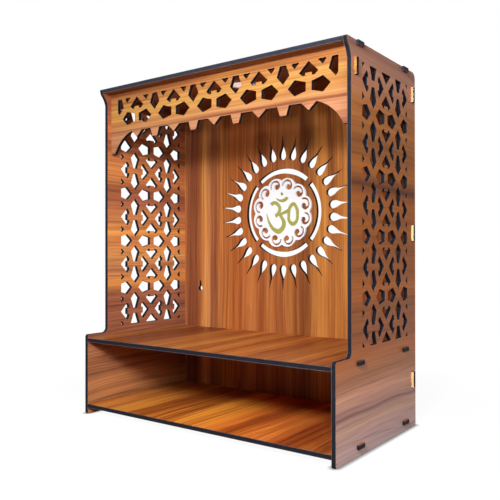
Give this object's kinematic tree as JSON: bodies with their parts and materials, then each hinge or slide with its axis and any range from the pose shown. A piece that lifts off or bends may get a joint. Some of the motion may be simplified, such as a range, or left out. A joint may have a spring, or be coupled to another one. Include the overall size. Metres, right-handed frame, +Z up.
{
  "type": "pooja mandir",
  "caption": "Flat-pack wall or table temple with lattice sides, a toothed valance, a sun-cut back with an Om medallion, a worship shelf and an open compartment below.",
  "frame": {"origin": "on the floor, in the middle of the box round the whole temple", "axes": "+X to the right seen from the front, -Y towards the open front, +Z up"},
  "size_m": [0.413, 0.22, 0.47],
  "materials": {
    "walnut_board": "satin laminate with charred edges",
    "white_acrylic": "gloss",
    "gold_acrylic": "satin",
    "puck_plastic": "satin"
  },
  "bodies": {
    "root": {"side_panel_left": "walnut_board", "side_panel_right": "walnut_board", "back_panel": "walnut_board", "roof_panel": "walnut_board", "shelf_panel": "walnut_board", "floor_panel": "walnut_board", "valance": "walnut_board", "scroll_medallion": "white_acrylic", "om_letter": "gold_acrylic", "om_crescent": "gold_acrylic", "om_dot": "gold_acrylic", "puck_light": "puck_plastic"}
  },
  "joints": []
}
